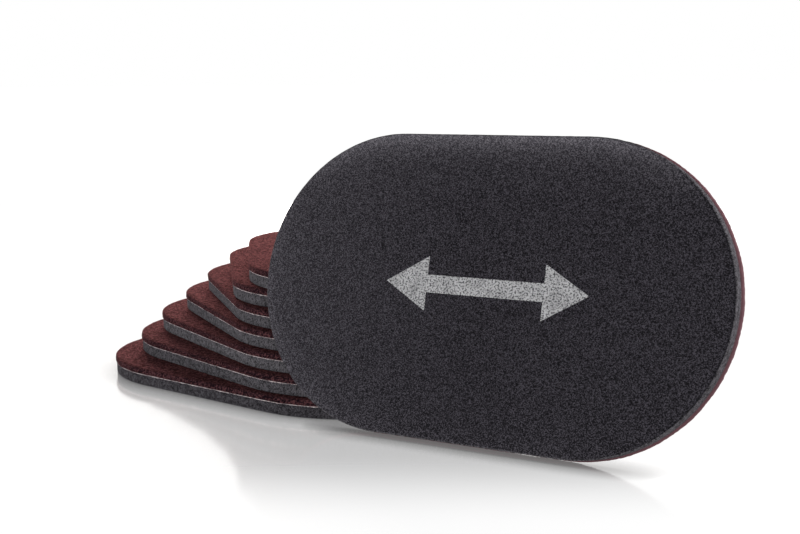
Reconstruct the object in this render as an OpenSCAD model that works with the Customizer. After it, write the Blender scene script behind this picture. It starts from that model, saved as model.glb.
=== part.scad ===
// A set of eight equal furniture sliders, each a foam pad bonded to a thinner felt pad.
// Seven lie felt side up in a fanned pile, and one stands on its long edge and leans on their near ends.
// Millimetres, Z up. The origin is on the floor, under the middle of the bottom slider's near round end.
// X runs along the leaning slider, and Y points back from it towards the pile.

/* [Slider outline] */

// Length of a slider over both of its round ends
slider_length = 241.3; // [200:0.1:280]
// Width of a slider, which is also the diameter of its round ends
slider_width = 146.05; // [120:0.05:170]

/* [Layers] */

// Thickness of the foam pad that the furniture stands on
foam_thickness = 6.3; // [4:0.1:9]
// Thickness of the pale layer that bonds the foam to the felt
bond_thickness = 0.4; // [0.2:0.05:0.8]
// Thickness of the felt pad that slides on the floor
felt_thickness = 3.3; // [2.5:0.1:6]
// Distance by which the foam and the bond stay behind the edge of the felt, all round
foam_inset = 0.5; // [0.1:0.1:2]
// Rounding of the rim of the foam face
foam_rim = 0.6; // [0.3:0.1:1.5]
// Rounding of the rim of the felt face
felt_rim = 0.4; // [0.2:0.1:1.8]

/* [Pile] */

// Long-axis angle of each slider in the pile, from the bottom one up, counted from X
fan_angle = [170.5, 160, 152, 144, 137, 128.5, 126.5]; // [90:0.5:180]
// Sideways shift of each slider's near end, from the bottom one up
near_end_shift = [0, -1, -4.5, -5, -5, -9.5, 6]; // [-12:0.5:12]
// Distance by which each slider's near end stays behind the leaning slider, from the bottom one up
near_end_back = [0, 0, 2.5, 4, 5, 8, 0]; // [0:0.5:12]
// Clearance between a slider and the one that it lies on
loose_gap = 0.1; // [0.05:0.05:0.5]

/* [Leaning slider] */

// Angle by which the front slider leans back from upright
lean = 14.1; // [5:0.1:25]
// Place of the middle of the front slider along X
front_middle = 109.5; // [60:0.5:140]
// Clearance between the back of the front slider and the rims of the pile
lean_gap = 0.3; // [0.1:0.05:1]

/* [Hidden] */

$fn = 96;

// Radius of the felt's round ends, and the distance between their centres
end_radius = slider_width / 2;
span = slider_length - slider_width;

// Radius of the round ends of the foam and the bond
foam_radius = end_radius - foam_inset;

// Whole thickness of a slider, and the rise from one slider of the pile to the next
thickness = foam_thickness + bond_thickness + felt_thickness;
rise = thickness + loose_gap;

// The lean takes the back of the leaning slider this much farther back from one slider of the pile to the next
step_back = rise * tan(lean);

// The front slider pivots on the rounded rim of its felt, which rests on the floor
foot_y = -((end_radius - felt_rim) * cos(lean) + (thickness - 2 * felt_rim) * sin(lean)
  + 2 * felt_rim + lean_gap) / cos(lean);

foam_color = [0.17, 0.17, 0.18];
bond_color = [0.74, 0.69, 0.67];
felt_color = [0.36, 0.20, 0.18];

// Half of a pad's cross-section: flat below, with the outer upper corner rounded
module half_section(radius, height, rim) {
  square([radius - rim, height]);
  square([radius, height - rim]);
  if (rim > 0)
    translate([radius - rim, height - rim])
      circle(r = rim);
}

// A pad with two round ends, the near one about the origin and the far one along X
module pad(radius, height, rim) {
  rotate([90, 0, 90])
    linear_extrude(height = span) {
      half_section(radius, height, rim);
      mirror([1, 0])
        half_section(radius, height, rim);
    }
  rotate([0, 0, 90])
    rotate_extrude(angle = 180)
      half_section(radius, height, rim);
  translate([span, 0, 0])
    rotate([0, 0, -90])
      rotate_extrude(angle = 180)
        half_section(radius, height, rim);
}

// The three layers of a slider, with the foam face on the floor and the felt face up
module foam_pad() {
  color(foam_color)
    translate([0, 0, foam_thickness])
      mirror([0, 0, 1])
        pad(foam_radius, foam_thickness, foam_rim);
}

module bond_layer() {
  color(bond_color)
    translate([0, 0, foam_thickness])
      pad(foam_radius, bond_thickness, 0);
}

module felt_pad() {
  color(felt_color)
    translate([0, 0, foam_thickness + bond_thickness])
      pad(end_radius, felt_thickness, felt_rim);
}

// Place of slider k of the pile, counted from the bottom
module in_pile(k) {
  translate([near_end_shift[k - 1], (k - 1) * step_back + near_end_back[k - 1], (k - 1) * rise])
    rotate([0, 0, fan_angle[k - 1]])
      children();
}

// Place of the front slider: on its long edge, foam face to the front, leaning back
module in_front() {
  translate([front_middle, foot_y, felt_rim])
    rotate([-lean, 0, 0])
      translate([0, felt_rim - thickness, end_radius - felt_rim])
        rotate([90, 0, 180])
          translate([-span / 2, 0, 0])
            children();
}

module front_slider_foam() { in_front() foam_pad(); }
module front_slider_bond() { in_front() bond_layer(); }
module front_slider_felt() { in_front() felt_pad(); }

module pile_slider_1_foam() { in_pile(1) foam_pad(); }
module pile_slider_1_bond() { in_pile(1) bond_layer(); }
module pile_slider_1_felt() { in_pile(1) felt_pad(); }

module pile_slider_2_foam() { in_pile(2) foam_pad(); }
module pile_slider_2_bond() { in_pile(2) bond_layer(); }
module pile_slider_2_felt() { in_pile(2) felt_pad(); }

module pile_slider_3_foam() { in_pile(3) foam_pad(); }
module pile_slider_3_bond() { in_pile(3) bond_layer(); }
module pile_slider_3_felt() { in_pile(3) felt_pad(); }

module pile_slider_4_foam() { in_pile(4) foam_pad(); }
module pile_slider_4_bond() { in_pile(4) bond_layer(); }
module pile_slider_4_felt() { in_pile(4) felt_pad(); }

module pile_slider_5_foam() { in_pile(5) foam_pad(); }
module pile_slider_5_bond() { in_pile(5) bond_layer(); }
module pile_slider_5_felt() { in_pile(5) felt_pad(); }

module pile_slider_6_foam() { in_pile(6) foam_pad(); }
module pile_slider_6_bond() { in_pile(6) bond_layer(); }
module pile_slider_6_felt() { in_pile(6) felt_pad(); }

module pile_slider_7_foam() { in_pile(7) foam_pad(); }
module pile_slider_7_bond() { in_pile(7) bond_layer(); }
module pile_slider_7_felt() { in_pile(7) felt_pad(); }

front_slider_foam();
front_slider_bond();
front_slider_felt();
pile_slider_1_foam();
pile_slider_1_bond();
pile_slider_1_felt();
pile_slider_2_foam();
pile_slider_2_bond();
pile_slider_2_felt();
pile_slider_3_foam();
pile_slider_3_bond();
pile_slider_3_felt();
pile_slider_4_foam();
pile_slider_4_bond();
pile_slider_4_felt();
pile_slider_5_foam();
pile_slider_5_bond();
pile_slider_5_felt();
pile_slider_6_foam();
pile_slider_6_bond();
pile_slider_6_felt();
pile_slider_7_foam();
pile_slider_7_bond();
pile_slider_7_felt();
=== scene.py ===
"""A fanned pile of foam and felt furniture sliders, with one more standing on edge and leaning on it.

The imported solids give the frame. This script gives each slider its foam pad, its glue line and its felt pad
as they look, puts a plain sign on the leaning slider's foam, and sets the floor, the lamps and the camera.
Everything is in metres.
"""

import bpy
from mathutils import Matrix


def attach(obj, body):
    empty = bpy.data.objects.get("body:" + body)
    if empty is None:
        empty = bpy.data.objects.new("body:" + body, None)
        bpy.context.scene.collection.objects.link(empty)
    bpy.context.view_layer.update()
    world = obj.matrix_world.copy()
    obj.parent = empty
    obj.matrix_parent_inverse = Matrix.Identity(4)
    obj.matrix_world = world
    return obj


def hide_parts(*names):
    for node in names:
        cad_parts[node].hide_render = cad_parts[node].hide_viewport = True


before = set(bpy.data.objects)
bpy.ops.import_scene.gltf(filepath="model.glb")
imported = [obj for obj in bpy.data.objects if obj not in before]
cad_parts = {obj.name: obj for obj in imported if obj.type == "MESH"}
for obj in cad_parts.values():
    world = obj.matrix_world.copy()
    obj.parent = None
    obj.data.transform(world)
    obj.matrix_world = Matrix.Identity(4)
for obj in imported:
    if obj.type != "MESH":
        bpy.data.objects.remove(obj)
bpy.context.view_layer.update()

import logging
import math
from dataclasses import dataclass, field
from enum import Enum
from typing import Any, Optional, Union

import bmesh
import bpy
import numpy as np
from mathutils import Matrix, Vector

log = logging.getLogger("sliders")

MM = 0.001
MERGE_WITHIN = 0.002 * MM
SLIVER = 0.0001 * MM
WHITE = (1.0, 1.0, 1.0)

Colour = tuple[float, float, float]
Point = tuple[float, float, float]
Span = tuple[float, float]


def srgb(red: int, green: int, blue: int) -> Colour:
    """Turns a colour as a screen shows it into the linear values that shaders take, by the sRGB curve.

    Args:
        red: red from 0 to 255.
        green: green from 0 to 255.
        blue: blue from 0 to 255.

    Returns:
        The three linear values, from 0 to 1.
    """
    share = np.array([red, green, blue]) / 255.0
    linear = np.where(share <= 0.04045, share / 12.92, ((share + 0.055) / 1.055) ** 2.4)
    return tuple(float(v) for v in linear)


def scaled(colour: Colour, times: float) -> Colour:
    """Makes a colour darker or lighter by one factor."""
    return tuple(v * times for v in colour)


# Sizes and places


@dataclass(frozen=True)
class SliderSize:
    """Sizes of one slider, the same as in the solids."""

    length: float = 241.3 * MM
    width: float = 146.05 * MM
    foam: float = 6.3 * MM
    bond: float = 0.4 * MM
    felt: float = 3.3 * MM
    foam_inset: float = 0.5 * MM
    foam_rim: float = 0.6 * MM
    felt_rim: float = 0.4 * MM

    @property
    def radius(self) -> float:
        """Radius of the round ends."""
        return self.width / 2

    @property
    def span(self) -> float:
        """Distance between the centres of the round ends."""
        return self.length - self.width

    @property
    def thickness(self) -> float:
        """Thickness of the three layers together."""
        return self.foam + self.bond + self.felt


@dataclass(frozen=True)
class Place:
    """A slider's own axes in the frame: x along it, y across it, z from its foam face to its felt face."""

    origin: Point
    along: Point
    across: Point
    through: Point

    @property
    def axes(self) -> np.ndarray:
        """The three axes as the rows of a matrix."""
        return np.array([self.along, self.across, self.through])

    def to_frame(self, points: np.ndarray) -> np.ndarray:
        """Moves points from the slider's own axes into the frame.

        Args:
            points: an array whose last axis holds x, y and z.

        Returns:
            An array of the same shape in the frame.
        """
        return np.array(self.origin) + points @ self.axes


@dataclass(frozen=True)
class Arrangement:
    """How the sliders lie: a loose pile whose near ends keep clear of the one that leans on it."""

    size: SliderSize = SliderSize()
    lean: float = math.radians(14.1)
    lean_gap: float = 0.3 * MM
    loose_gap: float = 0.1 * MM
    front_middle: float = 109.5 * MM
    fan_degrees: tuple[float, ...] = (170.5, 160.0, 152.0, 144.0, 137.0, 128.5, 126.5)
    shifts_mm: tuple[float, ...] = (0.0, -1.0, -4.5, -5.0, -5.0, -9.5, 6.0)
    backs_mm: tuple[float, ...] = (0.0, 0.0, 2.5, 4.0, 5.0, 8.0, 0.0)

    @property
    def pile(self) -> range:
        """The numbers of the pile's sliders, from the bottom one up."""
        return range(1, len(self.fan_degrees) + 1)

    def in_pile(self, number: int) -> Place:
        """Gives the place of a slider of the pile.

        Args:
            number: 1 for the bottom slider and up from there.

        Returns:
            Its place, felt side up.
        """
        rise = self.size.thickness + self.loose_gap
        angle = math.radians(self.fan_degrees[number - 1])
        cos, sin = math.cos(angle), math.sin(angle)
        half = self.size.span / 2
        origin = (
            self.shifts_mm[number - 1] * MM + half * cos,
            (number - 1) * rise * math.tan(self.lean) + self.backs_mm[number - 1] * MM + half * sin,
            (number - 1) * rise,
        )
        return Place(origin, (cos, sin, 0.0), (-sin, cos, 0.0), (0.0, 0.0, 1.0))

    def in_front(self) -> Place:
        """Gives the place of the slider that stands on its edge and leans back on the pile."""
        size, cos, sin = self.size, math.cos(self.lean), math.sin(self.lean)
        rim, thick = size.felt_rim, size.thickness
        reach = (size.radius - rim) * cos + (thick - 2 * rim) * sin + 2 * rim + self.lean_gap
        foot = np.array([self.front_middle, -reach / cos, rim])
        up, back = np.array([0.0, sin, cos]), np.array([0.0, cos, -sin])
        origin = foot + up * (size.radius - rim) + back * (rim - thick)
        return Place(tuple(origin), (-1.0, 0.0, 0.0), tuple(up), tuple(back))


# Chance


class Draw(Enum):
    """What is left to chance on a slider, with the number that each draw adds to the slider's seed."""

    FOAM_EDGE = 0
    BEAD_SWELL = 100
    BEAD_SWAY = 200
    FELT_FIBRE = 300
    FELT_SAG = 400
    FELT_TUFT = 500

    def begin(self, seed: int) -> np.random.Generator:
        """Starts this draw for the slider that has the seed."""
        return np.random.default_rng(seed + self.value)


@dataclass(frozen=True)
class Ripple:
    """An even, endless ripple round an outline: a sum of cosines with drawn phases.

    The waves field holds the fewest and most waves round the outline, and count how many cosines are added.
    From row to row of a profile a cosine shifts by row_step times its own drawn share of most_drift radians.
    """

    waves: tuple[int, int]
    count: int
    row_step: float = 0.0
    most_drift: float = 2.5

    def over(self, around: np.ndarray, rows: int, draw: np.random.Generator) -> np.ndarray:
        """Works the ripple out over a grid.

        Args:
            around: place round the outline, from 0 to 1.
            rows: rows of the profile.
            draw: picks the waves and their phases.

        Returns:
            An array of rows by around values with mean 0 and deviation 1.
        """
        number = draw.integers(self.waves[0], self.waves[1] + 1, self.count)
        phase = draw.uniform(0, 2 * np.pi, self.count)
        drift = draw.uniform(-1, 1, self.count) * self.most_drift
        across = np.arange(rows) * self.row_step
        turns = 2 * np.pi * around[None, :, None] * number + across[:, None, None] * drift + phase
        total = np.cos(turns).sum(axis=2)
        return (total - total.mean()) / total.std()


# Meshes


@dataclass(frozen=True)
class Racetrack:
    """The outline of a slider as samples: two half circles joined by two straight sides."""

    size: SliderSize
    arc_steps: int
    side_steps: int

    def samples(self) -> tuple[np.ndarray, np.ndarray, np.ndarray]:
        """Samples the outline once round.

        Returns:
            The points on the middle line (N, 2), the directions out from it (N, 2), and the place round
            the outline (N), from 0 to 1.
        """
        half = self.size.span / 2
        sweep = np.linspace(-np.pi / 2, np.pi / 2, self.arc_steps, endpoint=False)
        run = np.linspace(half, -half, self.side_steps, endpoint=False)
        flat = np.zeros_like(run)
        core = np.concatenate([
            np.tile([half, 0.0], (self.arc_steps, 1)),
            np.stack([run, flat], axis=1),
            np.tile([-half, 0.0], (self.arc_steps, 1)),
            np.stack([-run, flat], axis=1),
        ])
        out = np.concatenate([
            np.stack([np.cos(sweep), np.sin(sweep)], axis=1),
            np.stack([flat, flat + 1], axis=1),
            np.stack([-np.cos(sweep), -np.sin(sweep)], axis=1),
            np.stack([flat, flat - 1], axis=1),
        ])
        edge = core + out * self.size.radius
        steps = np.linalg.norm(np.roll(edge, -1, axis=0) - edge, axis=1)
        around = np.concatenate([[0.0], np.cumsum(steps)[:-1]]) / steps.sum()
        return core, out, around

    def carry(self, inset: np.ndarray, height: np.ndarray) -> np.ndarray:
        """Carries a profile round the outline: each point lies inset from the edge, at its height.

        Args:
            inset: distance in from the edge, profile by outline.
            height: height through the slider, profile by outline.

        Returns:
            Points, profile by outline by 3.
        """
        core, out, _ = self.samples()
        reach = np.clip(self.size.radius - inset, 0, None)[..., None]
        flat = core[None] + out[None] * reach
        return np.concatenate([flat, height[..., None]], axis=2)


def near_edge(inset: np.ndarray, reach: float) -> np.ndarray:
    """Gives 1 within half the reach of the edge, falling evenly to 0 at one and a half times the reach."""
    return np.clip(1.5 - inset / reach, 0, 1)


def ring_faces(rows: int, columns: int) -> np.ndarray:
    """Joins the points of a grid that closes round its columns into four-sided faces.

    Args:
        rows: points along the profile.
        columns: points round the outline.

    Returns:
        Point numbers, faces by 4.
    """
    row, column = np.meshgrid(np.arange(rows - 1), np.arange(columns), indexing="ij")
    here, next_column = row * columns, (column + 1) % columns
    there = here + columns
    corners = [here + column, here + next_column, there + next_column, there + column]
    return np.stack(corners, axis=2).reshape(-1, 4)


def make_piece(name: str, points: np.ndarray, faces: np.ndarray,
               marks: Optional[dict[str, np.ndarray]] = None) -> bpy.types.Object:
    """Makes an object from points and faces, merges points that coincide and turns its faces outwards.

    Args:
        name: the object's name.
        points: points by 3, in the frame.
        faces: point numbers, faces by 3 or 4.
        marks: values per point by name, which materials read.

    Returns:
        The object, linked into the scene.
    """
    mesh = bpy.data.meshes.new(name)
    mesh.from_pydata(points.reshape(-1, 3).tolist(), [], faces.tolist())
    for mark, values in (marks or {}).items():
        layer = mesh.attributes.new(mark, "FLOAT", "POINT")
        layer.data.foreach_set("value", np.ascontiguousarray(values.reshape(-1), dtype=np.float32))
    work = bmesh.new()
    work.from_mesh(mesh)
    bmesh.ops.remove_doubles(work, verts=work.verts, dist=MERGE_WITHIN)
    bmesh.ops.dissolve_degenerate(work, edges=work.edges, dist=SLIVER)
    bmesh.ops.recalc_face_normals(work, faces=work.faces)
    work.to_mesh(mesh)
    work.free()
    mesh.polygons.foreach_set("use_smooth", np.ones(len(mesh.polygons), dtype=bool))
    mesh.update()
    piece = bpy.data.objects.new(name, mesh)
    bpy.context.scene.collection.objects.link(piece)
    return piece


# Shader maths


class Value:
    """An output socket, on which Python's operators make Math nodes."""

    def __init__(self, tree: "ShaderTree", socket: Optional[bpy.types.NodeSocket]) -> None:
        """Keeps the socket and the tree that it is in."""
        self.tree = tree
        self.socket = socket

    def __add__(self, other: "Term") -> "Value":
        """Adds."""
        return self.tree.math("ADD", self, other)

    __radd__ = __add__

    def __sub__(self, other: "Term") -> "Value":
        """Subtracts."""
        return self.tree.math("SUBTRACT", self, other)

    def __rsub__(self, other: "Term") -> "Value":
        """Subtracts from a number."""
        return self.tree.math("SUBTRACT", other, self)

    def __mul__(self, other: "Term") -> "Value":
        """Multiplies."""
        return self.tree.math("MULTIPLY", self, other)

    __rmul__ = __mul__

    def __truediv__(self, other: "Term") -> "Value":
        """Divides."""
        return self.tree.math("DIVIDE", self, other)

    def __rtruediv__(self, other: "Term") -> "Value":
        """Divides a number."""
        return self.tree.math("DIVIDE", other, self)

    def __pow__(self, other: "Term") -> "Value":
        """Raises to a power."""
        return self.tree.math("POWER", self, other)

    def __rpow__(self, other: "Term") -> "Value":
        """Raises a number to this power."""
        return self.tree.math("POWER", other, self)

    def clamped(self) -> "Value":
        """Keeps the value from 0 to 1."""
        return self.tree.math("ADD", self, 0.0, clamp=True)

    def step(self, low: float, high: float) -> "Value":
        """Rises smoothly from 0 at low to 1 at high."""
        sockets = {0: self, 1: low, 2: high, 3: 0.0, 4: 1.0}
        return self.tree.node("ShaderNodeMapRange", {"interpolation_type": "SMOOTHSTEP"}, sockets)


Term = Union[Value, float, int]


class ShaderTree:
    """A node tree that is written from nothing."""

    def __init__(self, tree: bpy.types.NodeTree) -> None:
        """Empties the tree."""
        self.tree = tree
        tree.nodes.clear()

    def node(self, kind: str, settings: Optional[dict[str, Any]] = None,
             sockets: Optional[dict[Any, Any]] = None, output: Union[int, str] = 0) -> Value:
        """Adds a node.

        Args:
            kind: the node's type.
            settings: its properties, which are set first.
            sockets: values or links by the input's name or number.
            output: the output to hand back.

        Returns:
            That output, with no socket where the node has no outputs.
        """
        made = self.tree.nodes.new(kind)
        for key, value in (settings or {}).items():
            setattr(made, key, value)
        for key, value in (sockets or {}).items():
            if isinstance(value, Value):
                self.tree.links.new(value.socket, made.inputs[key])
            elif isinstance(value, tuple) and made.inputs[key].type == "RGBA":
                made.inputs[key].default_value = (*value, 1.0)
            else:
                made.inputs[key].default_value = value
        return Value(self, made.outputs[output] if made.outputs else None)

    def math(self, operation: str, first: Term, second: Term, clamp: bool = False) -> Value:
        """Adds a Math node.

        Args:
            operation: the node's operation.
            first: a value or a number.
            second: a value or a number.
            clamp: whether the result stays from 0 to 1.

        Returns:
            The result.
        """
        settings = {"operation": operation, "use_clamp": clamp}
        return self.node("ShaderNodeMath", settings, {0: first, 1: second})

    def mix(self, share: Term, first: Any, second: Any) -> Value:
        """Mixes two colours.

        Args:
            share: 0 for the first and 1 for the second.
            first: a colour.
            second: a colour.

        Returns:
            The mixed colour.
        """
        return self.node("ShaderNodeMix", {"data_type": "RGBA"}, {0: share, 6: first, 7: second}, 2)

    def noise(self, place: Value, scale: float, detail: float = 2.0, roughness: float = 0.5) -> Value:
        """Adds a noise pattern whose grains are about 1 / scale metres wide."""
        sockets = {"Vector": place, "Scale": scale, "Detail": detail, "Roughness": roughness}
        return self.node("ShaderNodeTexNoise", {}, sockets)

    def cells(self, place: Value, scale: float) -> Value:
        """Adds a pattern of cells about 1 / scale metres wide, each with its own even value from 0 to 1."""
        sockets = {"Vector": place, "Scale": scale}
        colour = self.node("ShaderNodeTexVoronoi", {"feature": "F1"}, sockets, "Color")
        return self.node("ShaderNodeSeparateColor", {}, {0: colour}, 0)

    def stretched(self, place: Value, turn: Point, scale: Point) -> Value:
        """Turns and stretches a place before a pattern reads it."""
        sockets = {"Vector": place, "Rotation": turn, "Scale": scale}
        return self.node("ShaderNodeMapping", {"vector_type": "POINT"}, sockets)

    def length(self, place: Value) -> Value:
        """Measures how far a place is from the origin."""
        return self.node("ShaderNodeVectorMath", {"operation": "LENGTH"}, {0: place}, "Value")

    def along(self, place: Value, way: Point) -> Value:
        """Measures how far a place is from the origin along one direction."""
        return self.node("ShaderNodeVectorMath", {"operation": "DOT_PRODUCT"}, {0: place, 1: way}, "Value")

    def mark(self, name: str) -> Value:
        """Reads a value that the mesh holds for each point."""
        return self.node("ShaderNodeAttribute", {"attribute_name": name}, {}, "Fac")

    def bump(self, height: Value, depth: float, strength: float) -> Value:
        """Turns a height into a bent normal."""
        return self.node("ShaderNodeBump", {}, {"Height": height, "Distance": depth, "Strength": strength})

    def seen(self) -> Value:
        """Tells rays that show a surface, 1, from rays that light it, 0."""
        rays = [self.node("ShaderNodeLightPath", {}, {}, name)
                for name in ("Is Camera Ray", "Is Glossy Ray", "Is Transmission Ray")]
        return (rays[0] + rays[1] + rays[2]).clamped()

    def surface(self, shader: Value, target: str = "ShaderNodeOutputMaterial") -> None:
        """Links a shader to the tree's output."""
        self.node(target, {}, {"Surface": shader})

    def principled(self, sockets: dict[str, Any]) -> None:
        """Ends a piece's material with a Principled shader that has these values and links."""
        self.surface(self.node("ShaderNodeBsdfPrincipled", {}, sockets))


def local_place(tree: ShaderTree, place: Place) -> Value:
    """Gives a material the slider's own axes: x along it, y across it, z through it.

    Args:
        tree: the material's tree.
        place: the slider's place.

    Returns:
        The place on the slider, in metres.
    """
    turn = Matrix(place.axes.tolist())
    shift = -(turn @ Vector(place.origin))
    sockets = {
        "Vector": tree.node("ShaderNodeTexCoord", {}, {}, "Object"),
        "Location": tuple(shift),
        "Rotation": tuple(turn.to_euler("XYZ")),
    }
    return tree.node("ShaderNodeMapping", {"vector_type": "POINT"}, sockets)


def new_material(name: str) -> tuple[bpy.types.Material, ShaderTree]:
    """Makes an empty material and its tree."""
    material = bpy.data.materials.new(name)
    material.use_nodes = True
    return material, ShaderTree(material.node_tree)


# Finishes: patterns are counted in grains per metre, and tones are shares of a colour


@dataclass(frozen=True)
class FoamFinish:
    """Charcoal foam: a dark, finely grained skin on its face, and lighter open cells where its edge was cut.

    The skin's few bright specks are the cell pattern raised to speck_power. Where the mesh marks a painted
    rim highlight, the skin takes lit tones from its dark one to the cut foam's light one. Where it marks a
    painted edge shade, the skin darkens.
    """

    skin: Colour = srgb(50, 48, 53)
    cut: Colour = srgb(82, 80, 84)
    cells: float = 2500.0
    grains: float = 1375.0
    flecks: float = 480.0
    blots: float = 170.0
    skin_tones: Span = (0.25, 2.6)
    # Lit tones of the skin, used for its painted rim highlight.
    rim_highlight_tones: Span = (2.4, 3.6)
    cut_tones: Span = (0.2, 1.8)
    speck_power: float = 2.2
    speck_gain: float = 1.3
    skin_drift: float = 0.1
    # Painted edge shade: its share, and how dark it makes the skin.
    edge_shade_share: float = 0.5
    edge_shade_tone: float = 0.2
    cut_base: float = 0.1
    cut_cells: float = 0.8
    cut_grains: float = 1.8
    cut_flecks: float = 1.6
    relief: float = 0.25 * MM
    relief_cells: float = 0.4
    relief_strength: float = 0.6
    roughness: float = 0.85
    roughness_drift: float = 0.1
    gloss: float = 0.03

    def material(self, name: str, place: Place) -> bpy.types.Material:
        """Builds the material for one slider.

        Args:
            name: the material's name.
            place: the slider's place, which the pattern follows.

        Returns:
            The material.
        """
        material, tree = new_material(name)
        where = local_place(tree, place)
        cell = tree.cells(where, self.cells)
        grain = tree.noise(where, self.grains, roughness=0.6)
        fleck = tree.noise(where, self.flecks, roughness=0.6)
        blot = tree.noise(where, self.blots)

        tone = (cell ** self.speck_power * self.speck_gain + (grain - 0.5) * self.skin_drift
                + (blot - 0.5) * self.skin_drift).clamped()
        skin = tree.mix(tone, *(scaled(self.skin, times) for times in self.skin_tones))
        # Painted rim highlight: lit tones of the skin where the mesh marks it.
        highlight_dark, highlight_pale = self.rim_highlight_tones
        rim_highlight = tree.mix(tone, scaled(self.skin, highlight_dark), scaled(self.cut, highlight_pale))
        skin = tree.mix(tree.mark("painted_rim_highlight"), skin, rim_highlight)
        # Painted edge shade: the skin darkens where the mesh marks it.
        painted_edge_shade = tree.mark("painted_edge_shade") * self.edge_shade_share
        skin = tree.mix(painted_edge_shade, skin, scaled(self.skin, self.edge_shade_tone))

        smear = (cell * self.cut_cells + (grain - 0.5) * self.cut_grains + (fleck - 0.5) * self.cut_flecks
                 + self.cut_base).clamped()
        open_cells = tree.mix(smear, *(scaled(self.cut, times) for times in self.cut_tones))
        tree.principled({
            "Base Color": tree.mix(tree.mark("cut"), skin, open_cells),
            "Roughness": self.roughness + (cell - 0.5) * self.roughness_drift,
            "Normal": tree.bump(cell * self.relief_cells + grain, self.relief, self.relief_strength),
            "Specular IOR Level": self.gloss,
        })
        return material


@dataclass(frozen=True)
class GlueFinish:
    """The pale film between foam and felt, seen as a thin, slightly broken line at the edge."""

    pale: Colour = srgb(226, 214, 214)
    stained: Colour = srgb(128, 110, 113)
    patches: float = 620.0
    patch_edge: Span = (0.3, 0.58)
    grains: float = 1800.0
    relief: float = 0.1 * MM
    relief_strength: float = 0.4
    roughness: float = 0.6
    pale_roughness: float = 0.1

    def material(self, name: str, place: Place) -> bpy.types.Material:
        """Builds the material for one slider.

        Args:
            name: the material's name.
            place: the slider's place, which the pattern follows.

        Returns:
            The material.
        """
        material, tree = new_material(name)
        where = local_place(tree, place)
        patch = tree.noise(where, self.patches, roughness=0.6).step(*self.patch_edge)
        tree.principled({
            "Base Color": tree.mix(patch, self.stained, self.pale),
            "Roughness": self.roughness + patch * self.pale_roughness,
            "Normal": tree.bump(tree.noise(where, self.grains), self.relief, self.relief_strength),
        })
        return material


@dataclass(frozen=True)
class FeltFinish:
    """Needled felt of dark maroon fibres, some of them lighter, whose fuzz glows reddish brown in the light.

    The strands field holds a turn in radians and a count for each of three sets of fibres, which lie across
    one another. The tone is random, and it is darker where a point sinks into a hollow between tufts: painted
    shade. edge_share of the cut colour goes onto the edge, partly as its own darker tone and partly as
    painted shade.
    """

    light: Colour = srgb(101, 65, 67)
    middle: Colour = srgb(51, 33, 38)
    dark: Colour = srgb(15, 10, 14)
    # The edge's colour: partly the cut felt's own darker tone, partly painted shade along the rim.
    cut: Colour = srgb(34, 19, 23)
    edge_share: float = 0.2
    fuzz: Colour = srgb(205, 128, 124)
    fuzz_weight: float = 0.14
    fuzz_roughness: float = 0.35
    strands: tuple[Span, Span, Span] = ((0.4, 1600.0), (1.5, 1400.0), (2.6, 1900.0))
    strand_stretch: Point = (1.0, 0.2, 1.0)
    grains: float = 1200.0
    clouds: float = 45.0
    fibre_gain: float = 5.0
    # Gain of the tuft mark: the felt's random tone, with painted shade in the hollows.
    tuft_tone_and_shade_gain: float = 1.3
    cloud_gain: float = 0.5
    shade: float = 0.3
    relief: float = 0.5 * MM
    relief_strength: float = 0.6
    roughness: float = 0.95
    light_roughness: float = 0.08
    gloss: float = 0.02

    def material(self, name: str, place: Place) -> bpy.types.Material:
        """Builds the material for one slider.

        Args:
            name: the material's name.
            place: the slider's place, which the pattern follows.

        Returns:
            The material.
        """
        material, tree = new_material(name)
        where = local_place(tree, place)
        first, second, third = (
            tree.noise(tree.stretched(where, (0.0, 0.0, turn), self.strand_stretch), count, roughness=0.55)
            for turn, count in self.strands
        )
        matted = (first + second + third) / 3.0
        grain = tree.noise(where, self.grains, roughness=0.6)
        cloud = tree.noise(where, self.clouds, detail=3.0, roughness=0.55)
        fibre = matted * 0.5 + grain * 0.5
        # The tuft mark gives a random tone that is darker where the point sinks into a hollow: painted shade.
        tone = ((fibre - 0.5) * self.fibre_gain + tree.mark("tuft_tone_and_shade") * self.tuft_tone_and_shade_gain
                + (cloud - 0.5) * self.cloud_gain - self.shade).clamped()
        shaded = tree.mix((tone * 2.0).clamped(), self.dark, self.middle)
        colour = tree.mix((tone * 2.0 - 1.0).clamped(), shaded, self.light)
        tree.principled({
            # The edge mix paints the cut colour on the edge and, fading, along the rim.
            "Base Color": tree.mix(tree.mark("cut") * self.edge_share, colour, self.cut),
            "Roughness": self.roughness - tone * self.light_roughness,
            "Normal": tree.bump(fibre, self.relief, self.relief_strength),
            "Specular IOR Level": self.gloss,
            "Sheen Weight": self.fuzz_weight,
            "Sheen Roughness": self.fuzz_roughness,
            "Sheen Tint": self.fuzz,
        })
        return material


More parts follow.
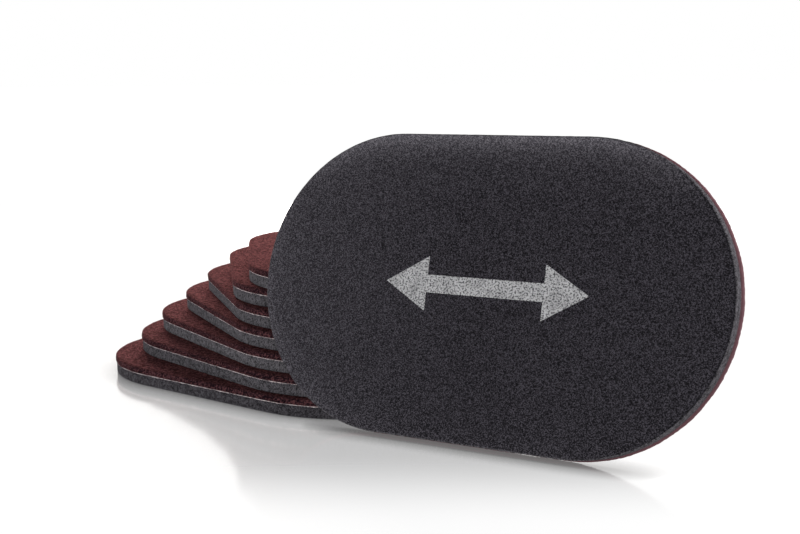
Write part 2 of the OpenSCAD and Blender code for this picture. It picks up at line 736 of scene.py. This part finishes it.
@dataclass(frozen=True)
class InkFinish:
    """Silver printing ink that has taken only on the tops of the foam's grain, and less where it is worn."""

    silver: Colour = srgb(196, 196, 198)
    bare: Colour = srgb(60, 59, 63)
    grains: float = 1150.0
    taken_from: Span = (0.36, 0.56)
    wear: float = 140.0
    whole_from: Span = (0.2, 0.62)
    worn_cover: float = 0.62
    metal: float = 0.35
    relief: float = 0.25 * MM
    relief_strength: float = 0.5
    roughness: float = 0.62
    ink_smoothness: float = 0.14

    def material(self, name: str, place: Place) -> bpy.types.Material:
        """Builds the material for the sign.

        Args:
            name: the material's name.
            place: the slider's place, which the pattern follows.

        Returns:
            The material.
        """
        material, tree = new_material(name)
        where = local_place(tree, place)
        grain = tree.noise(where, self.grains, roughness=0.6)
        taken = grain.step(*self.taken_from)
        whole = tree.noise(where, self.wear).step(*self.whole_from)
        cover = taken * (self.worn_cover + whole * (1.0 - self.worn_cover))
        tree.principled({
            "Base Color": tree.mix(cover, self.bare, self.silver),
            "Metallic": taken * self.metal,
            "Roughness": self.roughness - taken * self.ink_smoothness,
            "Normal": tree.bump(grain, self.relief, self.relief_strength),
        })
        return material


@dataclass(frozen=True)
class FloorFinish:
    """A glowing white floor under a soft shine, shaded where things touch it, and plain white far away.

    The far field holds the distances from the origin between which it turns plain white. The polish field
    holds the places along the camera's view between which the shine comes in.
    """

    far: Span = (0.35, 0.85)
    polish: Span = (-0.235, -0.13)
    glow: float = 0.5
    seen_glow: float = 0.38
    far_glow: float = 0.12
    touch_reach: float = 14 * MM
    touch_rays: int = 8
    touch_power: float = 2.0
    touch_glow: float = 0.25
    matt: Colour = (0.2, 0.2, 0.2)
    shine: Colour = (1.0, 0.985, 0.975)
    shine_roughness: float = 0.12
    shine_gain: float = 1.9
    refraction: float = 1.5

    def material(self, name: str, view: Point) -> bpy.types.Material:
        """Builds the material for the floor.

        Args:
            name: the material's name.
            view: the level direction in which the camera looks.

        Returns:
            The material.
        """
        material, tree = new_material(name)
        where = tree.node("ShaderNodeTexCoord", {}, {}, "Object")
        far = tree.length(where).step(*self.far)
        reach = {"Distance": self.touch_reach}
        open_share = tree.node("ShaderNodeAmbientOcclusion", {"samples": self.touch_rays}, reach, "AO")
        touch = self.touch_glow + open_share ** self.touch_power * (1.0 - self.touch_glow)
        strength = (self.glow + tree.seen() * (self.seen_glow + far * self.far_glow)) * touch
        glow = tree.node("ShaderNodeEmission", {}, {"Color": WHITE, "Strength": strength})
        matt = tree.node("ShaderNodeBsdfDiffuse", {}, {"Color": self.matt})
        body = tree.node("ShaderNodeAddShader", {}, {0: glow, 1: matt})
        gloss = {"Color": self.shine, "Roughness": self.shine_roughness}
        shine = tree.node("ShaderNodeBsdfGlossy", {}, gloss)
        mirror = tree.node("ShaderNodeFresnel", {}, {"IOR": self.refraction}) * self.shine_gain
        share = (mirror * tree.along(where, view).step(*self.polish) * (1.0 - far)).clamped()
        tree.surface(tree.node("ShaderNodeMixShader", {}, {0: share, 1: body, 2: shine}))
        return material


# Sliders


class Layer(Enum):
    """The three layers of a slider, with the end of the names of its solid and its finish."""

    FOAM = "foam"
    BOND = "bond"
    FELT = "felt"


@dataclass(frozen=True)
class FoamPad:
    """A foam pad: a flat face that eases down towards its rim, a rounded cut edge and a flat back.

    It reaches tuck deep into the glue. Its skin gets a painted highlight near its rim, strongest at the upper
    rim, and a painted shade just inside the rim at one end.
    """

    size: SliderSize = SliderSize()
    steps: tuple[int, int] = (150, 64)
    middle_rows: int = 5
    fine_rows: int = 18
    fine_reach: float = 16 * MM
    rim_rows: int = 8
    rim_hold: float = 0.07
    wall_rows: int = 8
    back_insets: Span = (0.06 * MM, 2.0 * MM)
    tuck: float = 0.1 * MM
    crown_drop: float = 0.2 * MM
    crown_reach: float = 4.5 * MM
    inset_reach: float = 8 * MM
    wobble: Ripple = Ripple((3, 160), 60, 0.25)
    wobble_depth: float = 0.02 * MM
    wobble_reach: float = 4 * MM
    # Painted shade just inside the rim of the end at minus x: its reach, its fade, and its lean to that end.
    edge_shade_reach: float = 1.0 * MM
    edge_shade_fade: float = 0.6 * MM
    edge_shade_gain: float = 1.3
    # Painted highlight along the rim: its reach, its share away from the upper side, its lean to the end at
    # plus x, and its share along the upper side.
    rim_highlight_reach: float = 6.0 * MM
    rim_highlight_elsewhere: float = 0.16
    rim_highlight_shift: float = 0.5
    rim_highlight_upper: float = 1.0
    upper_from: float = 0.6
    upper_power: float = 1.5
    # Painted light added towards the end at plus x, and how fast it grows.
    painted_light_end: float = 0.0
    painted_light_power: float = 1.3

    def profile(self) -> tuple[np.ndarray, np.ndarray, np.ndarray]:
        """Works out the profile from the middle of the face over the rim and along the edge to the back.

        The face falls by crown_drop times e to the power of minus the distance from the rim over crown_reach.
        The rim is a quarter circle, and the edge is straight.

        Returns:
            For each row its inset, its height, and 1 where the foam was cut or else 0.
        """
        size, rim, top = self.size, self.size.foam_rim, self.size.foam + self.tuck
        face = np.concatenate([np.linspace(size.radius, self.fine_reach, self.middle_rows),
                               np.geomspace(self.fine_reach, rim, self.fine_rows)[1:]])
        turn = np.concatenate([[self.rim_hold], np.linspace(0, np.pi / 2, self.rim_rows)[1:]])
        wall = np.linspace(self.crown_drop + rim, top, self.wall_rows + 1)[1:]
        back = np.array([*self.back_insets, 0.5 * size.radius, size.radius])
        fall = self.crown_drop * np.exp((rim - face) / self.crown_reach)
        rim_height = self.crown_drop + rim * (1 - np.cos(turn))
        inset = np.concatenate([face, rim * (1 - np.sin(turn)), np.zeros(len(wall)), back])
        height = np.concatenate([fall, rim_height, wall, np.full(len(back), top)])
        cut = np.repeat([0.0, 1.0, 0.0], [len(face), len(turn) + len(wall), len(back)])
        return inset, height, cut

    def marks(self, inset: np.ndarray, cut: np.ndarray, out: np.ndarray,
              along: np.ndarray) -> dict[str, np.ndarray]:
        """Works out what the finish reads: where the foam is cut, and where shade and light are painted on
        its skin.

        A painted shade runs just inside the rim of the end at minus x. A painted highlight dies away from the
        rim as e to the power of minus the distance over rim_highlight_reach. It is rim_highlight_upper along
        the upper side and up to rim_highlight_elsewhere elsewhere, and painted_light_end of painted light is
        added towards the end at plus x.

        Args:
            inset: inset of each row.
            cut: 1 for each row that was cut, or else 0.
            out: directions out from the middle line.
            along: place along the slider, profile by outline.

        Returns:
            The marks by name, profile by outline.
        """
        rim, uncut = self.size.foam_rim, cut == 0
        # Painted shade: a dark band just inside the rim, only at the end at minus x.
        painted_edge_shade = np.clip((rim + self.edge_shade_reach - inset) / self.edge_shade_fade, 0, 1) * uncut
        shaded_end = np.clip(-self.edge_shade_gain * out[:, 0], 0, 1)
        # Painted highlight: the skin is lightened near the rim, most along the upper side and towards the end
        # at plus x.
        rim_highlight = np.exp((rim - inset) / self.rim_highlight_reach) * (np.cumsum(cut) == 0)
        upper = np.clip((out[:, 1] - self.upper_from) / (1 - self.upper_from), 0, 1) ** self.upper_power
        others = self.rim_highlight_elsewhere * np.clip(out[:, 0] + self.rim_highlight_shift, 0, 1) * (1 - upper)
        # Painted light: the skin grows lighter towards the end at plus x.
        toward_lit_end = np.clip(along / (self.size.length / 2), 0, 1) ** self.painted_light_power
        painted_light = self.painted_light_end * toward_lit_end * uncut[:, None]
        return {
            "cut": cut[:, None] * np.ones_like(along),
            "painted_edge_shade": painted_edge_shade[:, None] * shaded_end,
            "painted_rim_highlight": rim_highlight[:, None] * (others + self.rim_highlight_upper * upper) + painted_light,
        }

    def build(self, body: str, place: Place, seed: int) -> bpy.types.Object:
        """Makes the pad: its profile carried round the outline, foam_inset in from it, with a slight wobble.

        Args:
            body: the slider's name.
            place: the slider's place.
            seed: the slider's seed.

        Returns:
            The object.
        """
        track = Racetrack(self.size, *self.steps)
        _, out, around = track.samples()
        inset, height, cut = self.profile()
        wobble = self.wobble.over(around, len(inset), Draw.FOAM_EDGE.begin(seed)) * self.wobble_depth
        wobble = wobble * (inset[:, None] < self.wobble_reach)
        set_in = inset + self.size.foam_inset * near_edge(inset, self.inset_reach)
        points = track.carry(set_in[:, None] + wobble, height[:, None] * np.ones_like(wobble))
        marks = self.marks(inset, cut, out, points[..., 0])
        return make_piece(f"{body}_foam_pad", place.to_frame(points), ring_faces(*wobble.shape), marks)


@dataclass(frozen=True)
class GlueFilm:
    """The glue film: thin all over, with an edge that swells and thins as it was squeezed out."""

    size: SliderSize = SliderSize()
    steps: tuple[int, int] = (450, 192)
    film_half: float = 0.1 * MM
    film_reach: float = 3.0 * MM
    bead_rows: int = 7
    bead_start: float = 0.02 * MM
    bead_half: float = 0.33 * MM
    bead_proud: float = 0.36 * MM
    least_half: float = 0.1 * MM
    least_proud: float = 0.03 * MM
    most: float = 0.5 * MM
    swell: Ripple = Ripple((40, 420), 90)
    swell_depth: float = 0.07 * MM
    sway: Ripple = Ripple((8, 90), 40)
    sway_depth: float = 0.05 * MM

    def build(self, body: str, place: Place, seed: int) -> bpy.types.Object:
        """Makes the film: half an ellipse carried round the edge, closed by a thin sheet behind it.

        The ellipse is bead_half high and bead_proud deep. Both swell by one ripple, and it sways by another.

        Args:
            body: the slider's name.
            place: the slider's place.
            seed: the slider's seed.

        Returns:
            The object.
        """
        size, track = self.size, Racetrack(self.size, *self.steps)
        _, _, around = track.samples()
        swell = self.swell.over(around, 1, Draw.BEAD_SWELL.begin(seed))[0] * self.swell_depth
        sway = self.sway.over(around, 1, Draw.BEAD_SWAY.begin(seed))[0] * self.sway_depth
        middle = size.foam + size.bond / 2
        half = np.clip(self.bead_half + swell, self.least_half, self.most)
        proud = np.clip(self.bead_proud + swell, self.least_proud, self.most)
        turn = np.linspace(-np.pi / 2, np.pi / 2, self.bead_rows)[:, None]
        bead_in = size.foam_inset + self.bead_start - np.cos(turn) * proud
        bead_up = middle + sway + np.sin(turn) * half
        deep = np.full((1, len(around)), self.film_reach)
        core = np.full((1, len(around)), size.radius)
        under = np.full((1, len(around)), middle - self.film_half)
        over = np.full((1, len(around)), middle + self.film_half)
        inset = np.concatenate([core, deep, bead_in, deep, core])
        height = np.concatenate([under, bead_up[:1], bead_up, bead_up[-1:], over])
        points = place.to_frame(track.carry(inset, height))
        return make_piece(f"{body}_glue_line", points, ring_faces(*inset.shape))


@dataclass(frozen=True)
class FeltPad:
    """A felt pad: a flat face, a soft rim and a side, all uneven with matted fibre.

    Its rim is rim_wide and rim_tall times as large as the solid's, and it reaches tuck deep into the glue.
    """

    size: SliderSize = SliderSize()
    steps: tuple[int, int] = (300, 128)
    side_rows: int = 6
    rim_rows: int = 8
    face_rows: int = 84
    middle_gap: float = 0.3 * MM
    back_inset: float = 2.0 * MM
    tuck: float = 0.1 * MM
    rim_wide: float = 3.0
    rim_tall: float = 2.0
    crown_drop: float = 0.05 * MM
    crown_reach: float = 4 * MM
    swell: float = 0.15 * MM
    swell_span: Span = (0.1, 0.9)
    fibre: Ripple = Ripple((30, 330), 90, 0.8)
    sag: Ripple = Ripple((4, 40), 30, 0.3)
    uneven_depth: float = 0.05 * MM
    uneven_reach: float = 4 * MM
    uneven_sink: float = 0.5
    most_proud: float = 0.16 * MM
    nap: float = 0.5 * MM
    nap_power: float = 1.3
    side_nap: float = 0.5
    edge_nap: float = 0.6
    # The edge mark's share at the rim, and how far it fades onto the face: painted shade along the rim of the
    # pile.
    rim_cut_and_shade: float = 0.6
    rim_shade_reach: float = 3 * MM

    def profile(self) -> tuple[list[np.ndarray], list[np.ndarray]]:
        """Works out the profile from the back along the side and over the rim to the middle of the face.

        The side is straight, and the rim is a quarter of an ellipse. The face falls by crown_drop times e to
        the power of minus the distance from the rim over crown_reach.

        Returns:
            The insets and the heights, each as four arrays: the back, the side, the rim and the face.
        """
        size = self.size
        base, top = size.foam + size.bond - self.tuck, size.thickness
        wide, tall = self.rim_wide * size.felt_rim, self.rim_tall * size.felt_rim
        back = np.array([size.radius, 0.5 * size.radius, self.back_inset])
        side = np.linspace(base, top - self.crown_drop - tall, self.side_rows)
        turn = np.linspace(0, np.pi / 2, self.rim_rows + 1)[1:]
        face = np.linspace(wide, size.radius - self.middle_gap, self.face_rows)[1:]
        face = np.append(face, size.radius)
        fall = self.crown_drop * np.exp((wide - face) / self.crown_reach)
        insets = [back, np.zeros(self.side_rows), wide * (1 - np.cos(turn)), face]
        heights = [np.full(len(back), base), side, side[-1] + tall * np.sin(turn), top - fall]
        return insets, heights

    def build(self, body: str, place: Place, seed: int) -> bpy.types.Object:
        """Makes the pad: its profile carried round the outline, made uneven, and then napped.

        Near the edge two ripples shift each point in or out. The side bulges by swell times a half sine over
        its height, at the round ends. Each point then sinks by nap times a drawn share from 0 to 1, less down
        the side, so that tufts stand between hollows.

        Args:
            body: the slider's name.
            place: the slider's place.
            seed: the slider's seed.

        Returns:
            The object.
        """
        track = Racetrack(self.size, *self.steps)
        _, out, around = track.samples()
        insets, heights = self.profile()
        back, side, rim, face = map(len, insets)
        inset, height = np.concatenate(insets), np.concatenate(heights)
        rows = np.arange(len(inset))

        fibre = self.fibre.over(around, len(rows), Draw.FELT_FIBRE.begin(seed))
        sag = self.sag.over(around, len(rows), Draw.FELT_SAG.begin(seed))
        near = near_edge(inset, self.uneven_reach) * (rows >= back)
        uneven = (fibre + sag) * self.uneven_depth * near[:, None]
        bulge = self.swell * np.sin(np.pi * np.linspace(*self.swell_span, side))
        bulge = np.concatenate([np.zeros(back), bulge, np.zeros(rim + face)])

        hollow = Draw.FELT_TUFT.begin(seed).random(uneven.shape) ** self.nap_power
        napped = np.concatenate([np.zeros(back), np.linspace(0, self.side_nap, side),
                                 np.linspace(self.side_nap, 1, rim), np.ones(face)])
        sunk = self.nap * hollow * napped[:, None]
        on_edge = rows < back + side + rim
        inset = inset[:, None] - np.minimum(uneven, self.most_proud) - bulge[:, None] * np.abs(out[:, 0])
        inset = inset + sunk * self.edge_nap * on_edge[:, None]
        height = height[:, None] - np.abs(uneven) * self.uneven_sink - sunk

        # The edge mark reaches over the rim onto the face, so that the finish paints the edge colour there.
        rim_shade_in = self.rim_cut_and_shade * np.exp((self.rim_wide * self.size.felt_rim - insets[-1]) / self.rim_shade_reach)
        cut = np.concatenate([np.ones(back + side), np.linspace(1, self.rim_cut_and_shade, rim), rim_shade_in])
        # The tuft mark follows the draw that sinks the hollows, so the finish paints shade into them.
        marks = {"cut": cut[:, None] * np.ones_like(inset), "tuft_tone_and_shade": 1 - hollow}
        points = place.to_frame(track.carry(inset, height))
        return make_piece(f"{body}_felt_pad", points, ring_faces(*inset.shape), marks)


@dataclass
class Slider:
    """One slider: a foam pad, a glue film and a felt pad."""

    body: str
    place: Place
    seed: int
    foam: FoamPad = FoamPad()
    glue: GlueFilm = GlueFilm()
    felt: FeltPad = FeltPad()
    pieces: dict[Layer, bpy.types.Object] = field(default_factory=dict)

    def build(self) -> None:
        """Makes the three pieces, hangs each on the slider's body, and hides the solid that it stands for."""
        layers = {Layer.FOAM: self.foam, Layer.BOND: self.glue, Layer.FELT: self.felt}
        for layer, shape in layers.items():
            piece = shape.build(self.body, self.place, self.seed)
            self.pieces[layer] = piece
            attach(piece, self.body)
            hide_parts(f"{self.body}_{layer.value}")
            log.info("%s: %d faces", piece.name, len(piece.data.polygons))

    def dress(self, foam: FoamFinish, glue: GlueFinish, felt: FeltFinish) -> None:
        """Gives each piece its finish.

        Args:
            foam: the foam's finish.
            glue: the glue's finish.
            felt: the felt's finish.
        """
        finishes = {Layer.FOAM: foam, Layer.BOND: glue, Layer.FELT: felt}
        for layer, piece in self.pieces.items():
            material = finishes[layer].material(f"{self.body}_{layer.value}_finish", self.place)
            piece.data.materials.append(material)


@dataclass(frozen=True)
class SlideSign:
    """A plain arrow with two heads, printed on the foam to say that it slides both ways."""

    slider: Slider
    middle: Span = (-2.5 * MM, 0.5 * MM)
    length: float = 104.0 * MM
    head: float = 22.0 * MM
    head_width: float = 26.0 * MM
    shoulder: float = 0.01 * MM
    shaft_width: float = 8.5 * MM
    tip: float = 0.4 * MM
    tip_width: float = 0.56 * MM
    film: float = 0.05 * MM
    sunk: float = 0.05 * MM

    def build(self) -> bpy.types.Object:
        """Makes the sign: widths along the arrow, carried round a thin film that is sunk a little way in.

        Returns:
            The object.
        """
        half, neck = self.length / 2, self.length / 2 - self.head
        right = np.array([
            [0.0, self.shaft_width],
            [neck * 0.5, self.shaft_width],
            [neck, self.shaft_width],
            [neck + self.shoulder, self.head_width],
            [half - self.tip, self.tip_width],
            [half, 0.0],
        ])
        left = right[:0:-1] * [-1, 1]
        along, wide = np.concatenate([left, right]).T
        edge = np.stack([wide, wide, -wide, -wide]) / 2
        level = np.array([self.sunk, -self.film, -self.film, self.sunk])
        x = np.broadcast_to(along[:, None] + self.middle[0], (len(along), len(level)))
        y = edge.T + self.middle[1]
        z = np.broadcast_to(level[None], x.shape)
        points = self.slider.place.to_frame(np.stack([x, y, z], axis=2))
        piece = make_piece(f"{self.slider.body}_slide_sign", points, ring_faces(*x.shape))
        piece.data.polygons.foreach_set("use_smooth", np.zeros(len(piece.data.polygons), dtype=bool))
        piece.data.materials.append(InkFinish().material("slide_sign_ink", self.slider.place))
        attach(piece, self.slider.body)
        log.info("%s: %d faces", piece.name, len(piece.data.polygons))
        return piece


# Studio


@dataclass(frozen=True)
class Softbox:
    """A square lamp that looks at a point."""

    name: str
    stand: Point
    aim: Point
    side: float
    watts: float
    tint: Colour = WHITE

    def build(self) -> None:
        """Makes the lamp."""
        lamp = bpy.data.lights.new(self.name, "AREA")
        lamp.shape, lamp.size, lamp.energy, lamp.color = "SQUARE", self.side, self.watts, self.tint
        holder = bpy.data.objects.new(self.name, lamp)
        away = Vector(self.stand) - Vector(self.aim)
        turn = away.to_track_quat("Z", "Y").to_matrix().to_4x4()
        holder.matrix_world = Matrix.Translation(self.stand) @ turn
        holder.visible_camera = holder.visible_glossy = False
        bpy.context.scene.collection.objects.link(holder)


@dataclass(frozen=True)
class Studio:
    """A white floor with a faint shine, a white surround, soft lamps and the camera."""

    floor_half: float = 30.0
    floor_cells: int = 8
    focal_px: float = 1293.67
    frame_px: float = 800.0
    sensor_mm: float = 36.0
    clip: Span = (0.01, 200.0)
    stand: Point = (0.37620, -0.59724, 0.16997)
    ahead: Point = (-0.49850, 0.85479, -0.14435)
    right: Point = (0.86448, 0.50259, -0.00922)
    surround_light: float = 0.05
    behind_light: float = 0.05
    behind: Span = (-0.1, 0.8)

    @property
    def level_view(self) -> Point:
        """The level direction in which the camera looks."""
        return tuple(Vector((self.ahead[0], self.ahead[1], 0.0)).normalized())

    def camera(self) -> None:
        """Sets the camera at the photograph's view."""
        lens = bpy.data.cameras.new("camera")
        lens.sensor_fit, lens.sensor_width = "HORIZONTAL", self.sensor_mm
        lens.lens = self.focal_px * lens.sensor_width / self.frame_px
        lens.clip_start, lens.clip_end = self.clip
        back = -Vector(self.ahead).normalized()
        right = Vector(self.right)
        right = (right - back * right.dot(back)).normalized()
        turn = Matrix((right, back.cross(right), back)).transposed()
        holder = bpy.data.objects.new("camera", lens)
        holder.matrix_world = Matrix.Translation(self.stand) @ turn.to_4x4()
        bpy.context.scene.collection.objects.link(holder)
        bpy.context.scene.camera = holder

    def floor(self) -> None:
        """Makes the floor: a flat square grid about the origin."""
        across = self.floor_cells + 1
        reach = np.linspace(-1, 1, across) * self.floor_half
        x, y = np.meshgrid(reach, reach, indexing="ij")
        points = np.stack([x, y, np.zeros_like(x)], axis=2)
        cells = np.arange(self.floor_cells)
        row, column = np.meshgrid(cells, cells, indexing="ij")
        first = row * across + column
        corners = [first, first + across, first + across + 1, first + 1]
        piece = make_piece("floor", points, np.stack(corners, axis=2).reshape(-1, 4))
        piece.data.materials.append(FloorFinish().material("floor_finish", self.level_view))

    def surround(self) -> None:
        """Makes the surround: white where it is seen, dim where it lights, and a little less dim behind."""
        world = bpy.data.worlds.new("surround")
        world.use_nodes = True
        bpy.context.scene.world = world
        tree = ShaderTree(world.node_tree)
        way = tree.node("ShaderNodeTexCoord", {}, {}, "Generated")
        behind = tree.along(way, self.level_view).step(*self.behind)
        light = self.surround_light + behind * self.behind_light
        strength = tree.math("MAXIMUM", tree.seen(), light)
        shader = tree.node("ShaderNodeBackground", {}, {"Color": WHITE, "Strength": strength})
        tree.surface(shader, "ShaderNodeOutputWorld")

    def lamps(self) -> None:
        """Makes the lamps: a strong low one behind on the left, and weaker ones right, in front and left."""
        boxes = [
            Softbox("key", stand=(-0.74, 0.75, 0.28), aim=(0.0, 0.0, 0.05), side=0.45, watts=40.0,
                    tint=(1.0, 0.93, 0.89)),
            Softbox("side", stand=(0.42, 0.03, 0.30), aim=(0.20, -0.05, 0.08), side=0.15, watts=1.1),
            Softbox("front", stand=(0.70, -0.80, 0.08), aim=(0.05, -0.08, 0.05), side=0.1, watts=2.9),
            Softbox("left", stand=(-0.62, -0.50, 0.12), aim=(0.0, -0.08, 0.05), side=0.25, watts=2.8),
        ]
        for box in boxes:
            box.build()

    def build(self) -> None:
        """Makes all of it."""
        self.camera()
        self.floor()
        self.surround()
        self.lamps()
        bpy.context.scene.view_settings.view_transform = "Standard"


# The set


@dataclass(frozen=True)
class SliderSet:
    """The whole set: the leaning slider, the pile behind it and the sign.

    The leaning slider has a rounder rim, a finer glue line, a fuller felt edge and finishes of its own: a
    darker glue, which is painted shade, and a light felt edge, which is a painted highlight. Its foam pad
    paints light towards its end at plus x. The lit_and_shaded_foam_tones field holds the cut foam's tone for
    each slider, the leaning one first, from 0 to 255; the tones differ to paint shade and light. foam_tint is
    what is added to a tone for its red, green and blue.
    """

    arrangement: Arrangement = Arrangement()
    first_seed: int = 10
    # The tones differ from slider to slider as painted shade and light; the bottom pad's is darkest.
    lit_and_shaded_foam_tones: tuple[int, ...] = (84, 66, 78, 88, 84, 82, 82, 82)
    foam_tint: tuple[int, int, int] = (-2, -4, 0)
    # The leaning slider's foam gets painted light towards its end at plus x.
    front_foam: FoamPad = FoamPad(crown_drop=0.35 * MM, crown_reach=3.0 * MM, painted_light_end=0.17)
    front_glue: GlueFilm = GlueFilm(bead_half=0.12 * MM, bead_proud=0.03 * MM)
    front_felt: FeltPad = FeltPad(swell=0.8 * MM)
    # Painted shade on the leaning slider's glue line: a darker copy of the glue's finish.
    front_glue_shaded_finish: GlueFinish = GlueFinish(srgb(112, 96, 100), srgb(84, 70, 74))
    # A painted highlight on the leaning slider's felt edge: a light cut colour over most of it.
    front_felt_highlight_finish: FeltFinish = FeltFinish(cut=srgb(118, 85, 91), edge_share=0.8)

    def sliders(self) -> list[Slider]:
        """Gives the sliders, the leaning one first and then the pile from the bottom up."""
        front = Slider("front_slider", self.arrangement.in_front(), self.first_seed,
                       self.front_foam, self.front_glue, self.front_felt)
        pile = [Slider(f"pile_slider_{number}", self.arrangement.in_pile(number), self.first_seed + number)
                for number in self.arrangement.pile]
        return [front] + pile

    def build(self) -> None:
        """Makes and dresses every slider, and prints the sign on the leaning one."""
        front, *pile = self.sliders()
        # Each slider's cut foam gets its own tone, which paints shade and light.
        foams = [FoamFinish(cut=srgb(*(tone + tint for tint in self.foam_tint))) for tone in self.lit_and_shaded_foam_tones]
        front.build()
        front.dress(foams[0], self.front_glue_shaded_finish, self.front_felt_highlight_finish)
        for slider, foam in zip(pile, foams[1:]):
            slider.build()
            slider.dress(foam, GlueFinish(), FeltFinish())
        SlideSign(front).build()


def main() -> None:
    """Builds the studio and the sliders, and reports each piece."""
    logging.basicConfig(level=logging.INFO, format="%(message)s")
    Studio().build()
    SliderSet().build()


if __name__ == "__main__":
    main()
